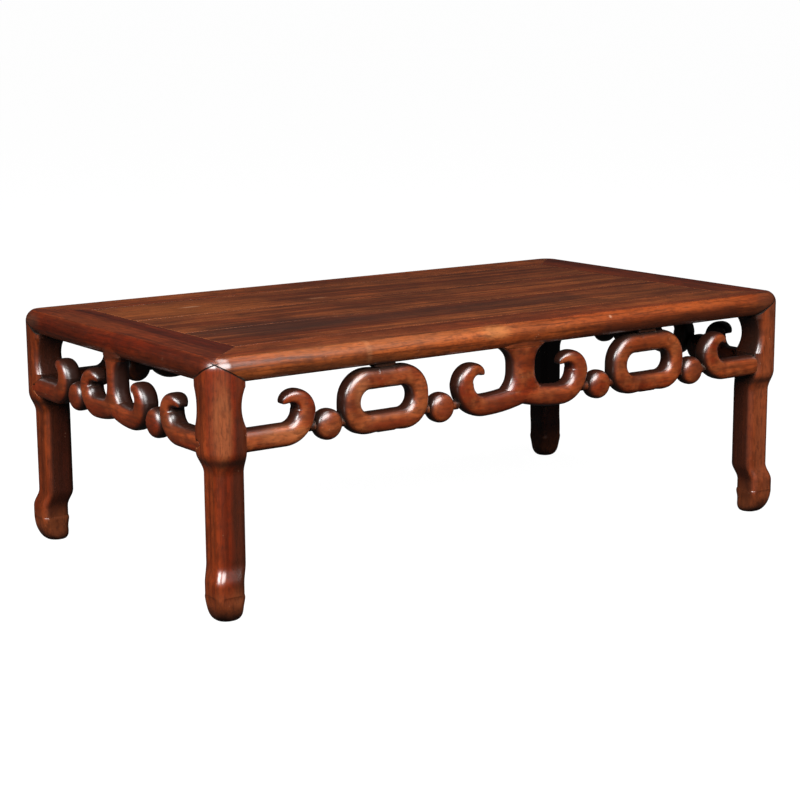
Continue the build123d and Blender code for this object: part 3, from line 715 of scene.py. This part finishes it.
# A tone patch is its centre, its half size, its colour and how much of it shows.
# Painted shade where each ring meets the rail over it.
RING_SEAT_SHADES = tuple(
    TonePatch((side * RING_PLACE, 0.0, SEAT_HEIGHT), (0.04, 1.0, 0.006), SEAT_AND_LEDGE_SHADE, 0.9) for side in (-1, 1))
RAIL_WOOD = WoodFinish(
    "rail_wood", dark=(0.026, 0.005, 0.0012), body=(0.135, 0.020, 0.003), light=(0.235, 0.058, 0.012),
    mitre_share=0.95,
    # Painted shade over the right half of the front rail, where less light falls.
    tone_patches=(TonePatch((0.24, -0.251, 0.295), (0.24, 0.04, 0.03), (0.085, 0.010, 0.001), 0.4),
            # Painted shade along the lower part of the front rail, on the left.
            TonePatch((-0.30, -0.251, 0.281), (0.18, 0.03, 0.010), (0.050, 0.015, 0.005), 0.65),
            # Painted light over the top of the left half of the front rail.
            TonePatch((-0.22, -0.245, 0.305), (0.24, 0.04, 0.010), (0.20, 0.065, 0.020), 0.25),
            # Painted shade along the lower part of the front rail, on the right.
            TonePatch((0.26, -0.251, 0.281), (0.26, 0.03, 0.017), (0.022, 0.005, 0.002), 0.85),
            TonePatch((0.43, -0.251, 0.295), (0.05, 0.03, 0.03), (0.030, 0.010, 0.005), 0.7),
            TonePatch((0.22, -0.247, 0.305), (0.26, 0.02, 0.007), (0.26, 0.056, 0.011), 0.3),
            TonePatch((-0.049, -0.251, 0.301), (0.026, 0.03, 0.012), (0.34, 0.13, 0.040), 0.35),
            TonePatch((-0.238, -0.251, 0.302), (0.005, 0.03, 0.022), (0.26, 0.11, 0.045), 0.2),
            TonePatch((0.137, -0.251, 0.304), (0.004, 0.005, 0.004), BARE_WOOD, 0.7)) + RING_SEAT_SHADES)
END_RAIL_WOOD = WoodFinish(
    "end_rail_wood", dark=(0.012, 0.002, 0.0006), body=(0.060, 0.0052, 0.0005),
    light=(0.14, 0.022, 0.004), dust_share=0.1, wax=0.85, wax_roughness=0.28, mitre_share=0.95,
    tone_patches=(TonePatch((-0.45, -0.119, 0.306), (0.004, 0.005, 0.004), BARE_WOOD, 0.7),
            TonePatch((-0.45, -0.152, 0.305), (0.004, 0.005, 0.004), BARE_WOOD, 0.7),
            # Painted shade along the lower edge of the left end rail.
            TonePatch((-0.451, 0.0, 0.281), (0.02, 1.0, 0.008), (0.016, 0.006, 0.003), 0.6),
            # Painted light along the top of the left end rail.
            TonePatch((-0.425, 0.08, 0.310), (0.034, 0.20, 0.005), (0.15, 0.030, 0.006), 0.35),
            TonePatch((-0.445, 0.215, 0.296), (0.02, 0.03, 0.012), (0.03, 0.016, 0.010), 0.6)))
PANEL_WOOD = WoodFinish(
    "panel_wood", dark=(0.020, 0.004, 0.001), body=(0.100, 0.017, 0.003), light=(0.22, 0.056, 0.013),
    band_count=34.0, roughness=0.46, seam_share=0.25, dust_share=0.08, inner_shade_share=0.0,
    streak_share=0.65, mottle_share=0.15, fleck_share=0.3,
    tone_patches=(TonePatch((-0.26, -0.085, 0.308), (0.15, 0.06, 0.04), (0.016, 0.006, 0.004), 0.65),
            TonePatch((0.0, -0.10, 0.308), (0.30, 0.04, 0.04), (0.020, 0.007, 0.004), 0.5),
            TonePatch((-0.30, 0.12, 0.308), (0.16, 0.07, 0.04), (0.22, 0.060, 0.012), 0.4),
            TonePatch((-0.265, 0.124, 0.308), (0.018, 0.005, 0.02), (0.36, 0.20, 0.12), 0.35),
            TonePatch((-0.089, 0.092, 0.308), (0.022, 0.005, 0.02), (0.34, 0.16, 0.08), 0.3)))
LEG_WOOD = WoodFinish(
    "leg_wood", dark=(0.022, 0.004, 0.001), body=(0.100, 0.0098, 0.0011), light=(0.18, 0.033, 0.007),
    line_share=0.15, pore_share=0.3, dust_share=0.1, mitre_share=0.95,
    tone_patches=(TonePatch((-0.435, -0.25, 0.235), (0.014, 0.03, 0.07), (0.18, 0.060, 0.020), 0.45),
            # Painted shade down the right side of the front left leg.
            TonePatch((-0.413, -0.25, 0.12), (0.014, 0.05, 0.24), (0.018, 0.005, 0.002), 0.8),
            TonePatch((0.44, -0.25, 0.29), (0.03, 0.03, 0.03), (0.040, 0.016, 0.009), 0.5),
            TonePatch((0.43, -0.25, 0.15), (0.03, 0.04, 0.20), (0.19, 0.050, 0.018), 0.45),
            # Painted shade on the inner side of the front right leg's head.
            TonePatch((0.403, -0.235, 0.25), (0.012, 0.03, 0.07), (0.006, 0.003, 0.002), 0.8),
            TonePatch((0.0, 0.0, 0.0), (1.0, 1.0, 0.05), (0.24, 0.060, 0.018), 0.5),
            # Painted shade under the ledge of each leg.
            TonePatch((0.0, 0.0, LEDGE_HEIGHT), (1.0, 1.0, 0.007), SEAT_AND_LEDGE_SHADE, 0.75)))
APRON_WOOD = WoodFinish(
    "apron_wood", dark=(0.022, 0.004, 0.001), body=(0.125, 0.0125, 0.0012), light=(0.21, 0.040, 0.008),
    line_share=0.15, pore_share=0.3, lit_face_share=0.4, flank_shade_share=0.9, wax_roughness=0.28,
    tone_patches=RING_SEAT_SHADES)
FRONT_APRON_WOOD = replace(
    APRON_WOOD, name="front_apron_wood",
    tone_patches=RING_SEAT_SHADES + (
        TonePatch((-0.356, -0.236, 0.211), (0.05, 0.04, 0.012), (0.26, 0.085, 0.028), 0.42),
        TonePatch((-0.246, -0.236, 0.248), (0.014, 0.04, 0.03), (0.24, 0.080, 0.030), 0.5),
        TonePatch((-0.199, -0.236, 0.206), (0.05, 0.04, 0.008), (0.080, 0.0075, 0.0010), 0.7),
        TonePatch((-0.125, -0.236, 0.216), (0.018, 0.04, 0.02), (0.075, 0.0090, 0.0020), 0.6),
        TonePatch((-0.015, -0.236, 0.206), (0.11, 0.04, 0.014), (0.060, 0.0052, 0.0008), 0.7),
        TonePatch((0.263, -0.236, 0.229), (0.014, 0.04, 0.03), (0.085, 0.0085, 0.0012), 0.6),
        TonePatch((0.292, -0.236, 0.216), (0.018, 0.04, 0.02), (0.060, 0.0100, 0.0030), 0.7),
        TonePatch((0.084, -0.236, 0.235), (0.014, 0.04, 0.04), (0.085, 0.0085, 0.0012), 0.5)))
END_APRON_WOOD = replace(APRON_WOOD, name="end_apron_wood", outward=(1.0, 0.0, 0.0), lit_face_share=0.1,
                         flank_shade_share=0.95, wax_roughness=0.33)
BATTEN_WOOD = WoodFinish(
    "batten_wood", dark=(0.03, 0.010, 0.005), body=(0.06, 0.020, 0.009), light=(0.09, 0.032, 0.014),
    wax=0.1, roughness=0.6)


@dataclass
class SubAssembly:
    """Pieces of the table that are dressed together.

    Each piece is cut from its own place in the log: a step on from the piece before it, and a
    further spread that its name decides.
    """

    title: str
    finish: WoodFinish
    cut_step: float = 0.37
    cut_spread: float = 0.011
    cut_places: int = 97

    def dress(self, names: list[str], grain: Grain, finish: WoodFinish | None = None) -> None:
        """Gives each named piece its own cut of the timber.

        Args:
            names: the pieces.
            grain: direction of their fibres.
            finish: finish in place of the sub-assembly's own.
        """
        for count, name in enumerate(names, start=1):
            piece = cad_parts[name]
            shift = self.cut_step * count + self.cut_spread * (sum(map(ord, name)) % self.cut_places)
            material = (finish or self.finish).material(name, grain, shift)
            piece.data.materials.clear()
            piece.data.materials.append(material)
            LOG.info("%s: %s dressed with %s", self.title, name, material.name)


@dataclass
class TopFrame(SubAssembly):
    """Mitred frame of two long rails and two end rails."""

    title: str = "top frame"
    finish: WoodFinish = RAIL_WOOD
    end_finish: WoodFinish = END_RAIL_WOOD

    def build(self) -> None:
        """Dresses the rails, each with its fibres along its length."""
        self.dress(["front_long_rail", "back_long_rail"], Grain.ALONG_X)
        self.dress(["left_end_rail", "right_end_rail"], Grain.ALONG_Y, self.end_finish)


@dataclass
class Panel(SubAssembly):
    """Floating panel of three boards on three dovetail battens."""

    title: str = "panel"
    finish: WoodFinish = PANEL_WOOD
    batten_finish: WoodFinish = BATTEN_WOOD

    def build(self) -> None:
        """Dresses the boards along the table and the battens across it."""
        self.dress([f"panel_board_{place}" for place in ("front", "middle", "back")], Grain.ALONG_X)
        self.dress([f"dovetail_batten_{place}" for place in ("left", "centre", "right")],
                   Grain.ALONG_Y, self.batten_finish)


@dataclass
class Legs(SubAssembly):
    """Four legs with hoof feet."""

    title: str = "legs"
    finish: WoodFinish = LEG_WOOD

    def build(self) -> None:
        """Dresses the legs with their fibres upright."""
        self.dress([f"leg_{end}_{side}" for end in ("front", "back") for side in ("left", "right")],
                   Grain.ALONG_Z)


@dataclass
class Apron(SubAssembly):
    """Openwork apron of scrolls, rings and balls on one side of the table."""

    title: str = "apron"
    finish: WoodFinish = APRON_WOOD
    dowel_finish: WoodFinish = BATTEN_WOOD
    side: str = "front"
    grain: Grain = Grain.ALONG_X
    neck_reach: float = 0.0085
    neck_shade_share: float = 0.9

    def necks(self, name: str) -> tuple[TonePatch, ...]:
        """Painted shade round the two necks of a ball, which stand at the ends of its box.

        Args:
            name: the ball.

        Returns:
            One patch of painted shade for each neck.
        """
        along_x = self.grain is Grain.ALONG_X
        half_size = (self.neck_reach, 1.0, 1.0) if along_x else (1.0, self.neck_reach, 1.0)
        places = [corner[0 if along_x else 1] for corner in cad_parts[name].bound_box]
        return tuple(TonePatch((end, 0.0, 0.0) if along_x else (0.0, end, 0.0), half_size,
                           self.finish.grime_and_shade, self.neck_shade_share) for end in (min(places), max(places)))

    def build(self) -> None:
        """Dresses every member of the apron along its length, its balls and its dowels."""
        names = sorted(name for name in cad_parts
                       if name.startswith(self.side + "_") and not name.endswith("_rail"))
        balls = [name for name in names if "_ball_" in name]
        dowels = [name for name in names if name.endswith("dowels")]
        self.dress([name for name in names if name not in balls + dowels], self.grain)
        for name in balls:
            # The ball's finish with painted shade round its necks.
            neck_shaded_finish = replace(self.finish, tone_patches=self.finish.tone_patches + self.necks(name))
            self.dress([name], self.grain, neck_shaded_finish)
        self.dress(dowels, self.grain, self.dowel_finish)


@dataclass(frozen=True)
class SoftBox:
    """A white studio light that faces the table."""

    name: str
    azimuth: float
    elevation: float
    distance: float
    width: float
    height: float
    power: float

    def hang(self, target: Vector) -> None:
        """Hangs the light round the target.

        Args:
            target: the point that it faces.
        """
        light = bpy.data.lights.new(self.name, "AREA")
        light.shape = "RECTANGLE"
        light.size, light.size_y = self.width, self.height
        light.energy = self.power
        lamp = bpy.data.objects.new(self.name, light)
        back = bearing(self.azimuth, self.elevation)
        lamp.matrix_world = (Matrix.Translation(target + back * self.distance)
                             @ (-back).to_track_quat("-Z", "Y").to_matrix().to_4x4())
        bpy.context.scene.collection.objects.link(lamp)
        LOG.info("studio: %s hung", self.name)


@dataclass
class Studio:
    """Pale floor, soft lights and the camera."""

    floor_size: float = 60.0
    floor_colour: Colour = (0.05, 0.05, 0.05)
    floor_cloud: Cloud = Cloud(3.0, ease=Ease(0.3, 0.7))
    floor_contrast: float = 1.01
    floor_roughness: float = 0.9
    floor_glow: float = 0.985
    backdrop: Colour = (1.0, 1.0, 1.0)
    backdrop_glow: float = 0.988
    room_light: float = 0.02
    camera_place: Triple = (-1.50197, -2.08857, 0.67774)
    camera_azimuth: float = -35.417
    camera_elevation: float = 11.128
    camera_roll: float = -0.369
    camera_reach: float = 100.0
    lens: float = 87.37
    sensor: float = 36.0
    light_target: Triple = (0.0, 0.0, 0.2)
    lights: list[SoftBox] = field(default_factory=lambda: [
        SoftBox("left_box", azimuth=-74.0, elevation=31.0, distance=2.6, width=1.4, height=1.2,
                power=126.0),
        SoftBox("front_box", azimuth=-13.0, elevation=37.0, distance=2.6, width=2.2, height=1.6,
                power=175.0),
        SoftBox("top_box", azimuth=-20.0, elevation=78.0, distance=2.6, width=1.4, height=1.4,
                power=55.0),
    ])

    def floor_material(self) -> bpy.types.Material:
        """Builds the floor's finish, which glows as pale as the backdrop.

        Returns:
            The material.
        """
        material = bpy.data.materials.new("studio_floor")
        wiring = emptied(material)
        place = wiring.add("ShaderNodeTexCoord").outputs["Object"]
        paler = tuple(part * self.floor_contrast for part in self.floor_colour)
        colour = wiring.lay(wiring.cloud(place, self.floor_cloud), opaque(self.floor_colour),
                            opaque(paler))
        shader = wiring.add("ShaderNodeBsdfPrincipled",
                            {"Base Color": colour, "Roughness": self.floor_roughness,
                             "Emission Color": opaque(self.backdrop),
                             "Emission Strength": self.floor_glow})
        wiring.add("ShaderNodeOutputMaterial", {"Surface": shader.outputs["BSDF"]})
        return material

    def lay_floor(self) -> None:
        """Lays the floor, which only the camera and the shadows see."""
        shape = bmesh.new()
        bmesh.ops.create_grid(shape, x_segments=1, y_segments=1, size=self.floor_size / 2)
        mesh = bpy.data.meshes.new("studio_floor")
        shape.to_mesh(mesh)
        shape.free()
        floor = bpy.data.objects.new("studio_floor", mesh)
        bpy.context.scene.collection.objects.link(floor)
        mesh.materials.append(self.floor_material())
        floor.visible_diffuse = False
        floor.visible_glossy = False
        LOG.info("studio: floor laid")

    def hang_backdrop(self) -> None:
        """Makes the room white to the camera and dim to the table."""
        world = bpy.data.worlds.new("studio_room")
        wiring = emptied(world)
        path = wiring.add("ShaderNodeLightPath")
        felt, seen = (
            wiring.add("ShaderNodeBackground", {"Color": opaque(self.backdrop), "Strength": glow})
            for glow in (self.room_light, self.backdrop_glow))
        both = wiring.add("ShaderNodeMixShader", {0: path.outputs["Is Camera Ray"],
                                                  1: felt.outputs[0], 2: seen.outputs[0]})
        wiring.add("ShaderNodeOutputWorld", {"Surface": both.outputs[0]})
        bpy.context.scene.world = world

    def set_camera(self) -> None:
        """Stands the camera at its place."""
        roll = math.radians(self.camera_roll)
        back = bearing(self.camera_azimuth, self.camera_elevation)
        right = (-back).cross(Vector((0.0, 0.0, 1.0))).normalized()
        up = right.cross(-back)
        across = right * math.cos(roll) + up * math.sin(roll)
        upright = up * math.cos(roll) - right * math.sin(roll)
        data = bpy.data.cameras.new("camera")
        data.lens = self.lens
        data.sensor_width = self.sensor
        data.clip_end = self.camera_reach
        camera = bpy.data.objects.new("camera", data)
        turn = Matrix((across, upright, back)).transposed()
        camera.matrix_world = Matrix.Translation(self.camera_place) @ turn.to_4x4()
        bpy.context.scene.collection.objects.link(camera)
        bpy.context.scene.camera = camera

    def build(self) -> None:
        """Sets up the floor, the room, the lights and the camera."""
        self.lay_floor()
        self.hang_backdrop()
        for box in self.lights:
            box.hang(Vector(self.light_target))
        self.set_camera()
        bpy.context.scene.view_settings.view_transform = "Standard"
        bpy.context.scene.view_settings.look = "None"


def main() -> None:
    """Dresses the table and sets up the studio."""
    logging.basicConfig(level=logging.INFO, format="%(message)s")
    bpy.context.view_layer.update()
    Studio().build()
    TopFrame().build()
    Panel().build()
    Legs().build()
    for side, grain, finish in (("front", Grain.ALONG_X, FRONT_APRON_WOOD),
                                ("back", Grain.ALONG_X, APRON_WOOD),
                                ("left", Grain.ALONG_Y, END_APRON_WOOD),
                                ("right", Grain.ALONG_Y, END_APRON_WOOD)):
        Apron(title=f"{side} apron", side=side, grain=grain, finish=finish).build()


if __name__ == "__main__":
    main()
